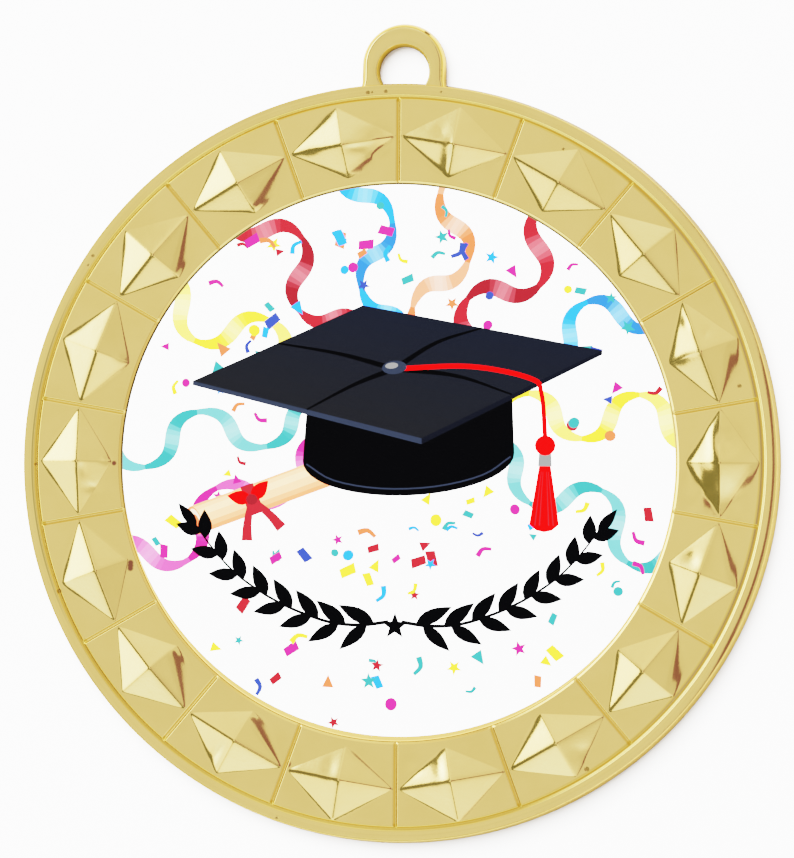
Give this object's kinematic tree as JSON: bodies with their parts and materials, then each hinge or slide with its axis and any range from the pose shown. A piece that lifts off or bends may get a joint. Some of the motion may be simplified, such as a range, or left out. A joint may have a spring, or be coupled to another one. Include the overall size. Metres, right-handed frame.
{
  "type": "academic insert medal",
  "caption": "Round cast award medal with a ring of faceted diamond points, a printed disc set in its middle and a ribbon loop at the top.",
  "frame": {"origin": "middle of the flat back, where the medal lies", "axes": "+Z out of the face, +Y towards the ribbon loop, +X to the viewer's right"},
  "size_m": [0.0698, 0.0752, 0.0037],
  "materials": {
    "gold_plating": "pale gold plating on a zinc casting, semi-gloss, with fine casting pits",
    "printed_insert": "white card-and-film disc with a glossy colour print"
  },
  "bodies": {
    "root": {"medal_body": "gold_plating", "insert_disc": "printed_insert"}
  },
  "joints": []
}
